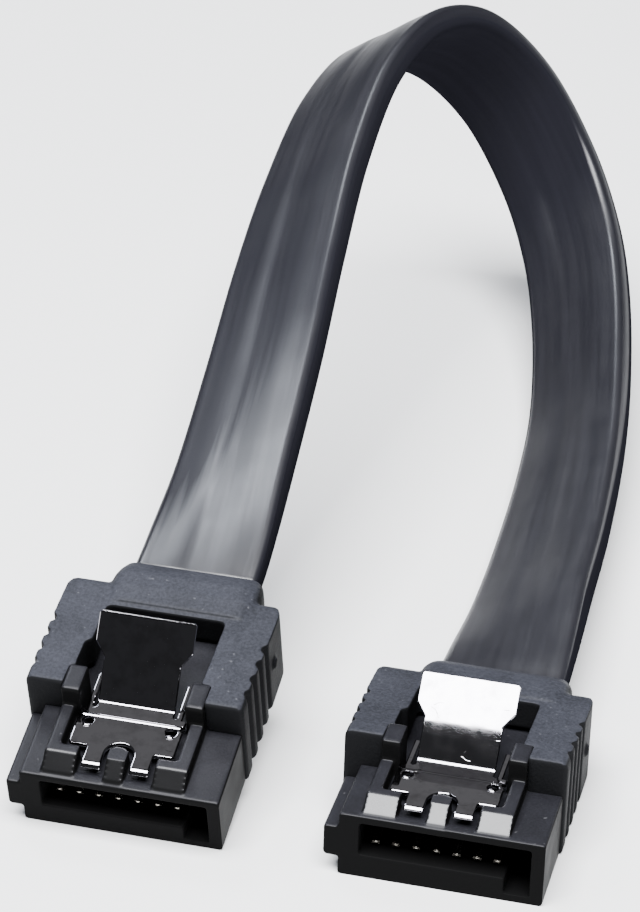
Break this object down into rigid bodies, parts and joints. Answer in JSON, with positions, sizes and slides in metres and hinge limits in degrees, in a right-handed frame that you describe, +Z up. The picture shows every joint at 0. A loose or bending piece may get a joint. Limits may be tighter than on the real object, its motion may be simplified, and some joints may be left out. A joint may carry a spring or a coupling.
{
  "type": "sata data cable",
  "caption": "Short flat data cable looped between straight plugs, each with an L-shaped mouth, a grooved moulded grip and a sprung metal latch with a finger tab.",
  "frame": {"origin": "on the table, under the middle of the bounding box of the plugs, the ribbon left out", "axes": "+X from the tipped first plug to the flat second plug, -Y the way the plugs mate, +Y towards the loop of the ribbon, +Z up"},
  "size_m": [0.0346, 0.0856, 0.028],
  "materials": {
    "housing_plastic": "smooth moulded black plastic, semi-gloss",
    "grip_plastic": "fine matt texture, very dark blue grey",
    "latch_steel": "polished spring steel strip",
    "contact_metal": "plated contact blade",
    "cable_vinyl": "soft dark grey vinyl jacket, semi-gloss"
  },
  "bodies": {
    "cable": {"ribbon": "cable_vinyl", "first_housing": "housing_plastic", "first_grip": "grip_plastic", "first_contact_1": "contact_metal", "first_contact_2": "contact_metal", "first_contact_3": "contact_metal", "first_contact_4": "contact_metal", "first_contact_5": "contact_metal", "first_contact_6": "contact_metal", "first_contact_7": "contact_metal", "second_housing": "housing_plastic", "second_grip": "grip_plastic", "second_contact_1": "contact_metal", "second_contact_2": "contact_metal", "second_contact_3": "contact_metal", "second_contact_4": "contact_metal", "second_contact_5": "contact_metal", "second_contact_6": "contact_metal", "second_contact_7": "contact_metal"},
    "first_latch": {"first_latch": "latch_steel"},
    "second_latch": {"second_latch": "latch_steel"}
  },
  "joints": [
    {"name": "first_latch_press", "type": "hinge", "parent": "cable", "child": "first_latch", "pos_m": [-0.0101, -0.00834, 0.00491], "axis": [-1, 0, 0], "range_deg": [0, 5], "stiffness_Nm_per_rad": 0.2},
    {"name": "second_latch_press", "type": "hinge", "parent": "cable", "child": "second_latch", "pos_m": [0.0101, -0.00725, 0.00475], "axis": [-1, 0, 0], "range_deg": [0, 5], "stiffness_Nm_per_rad": 0.2}
  ]
}
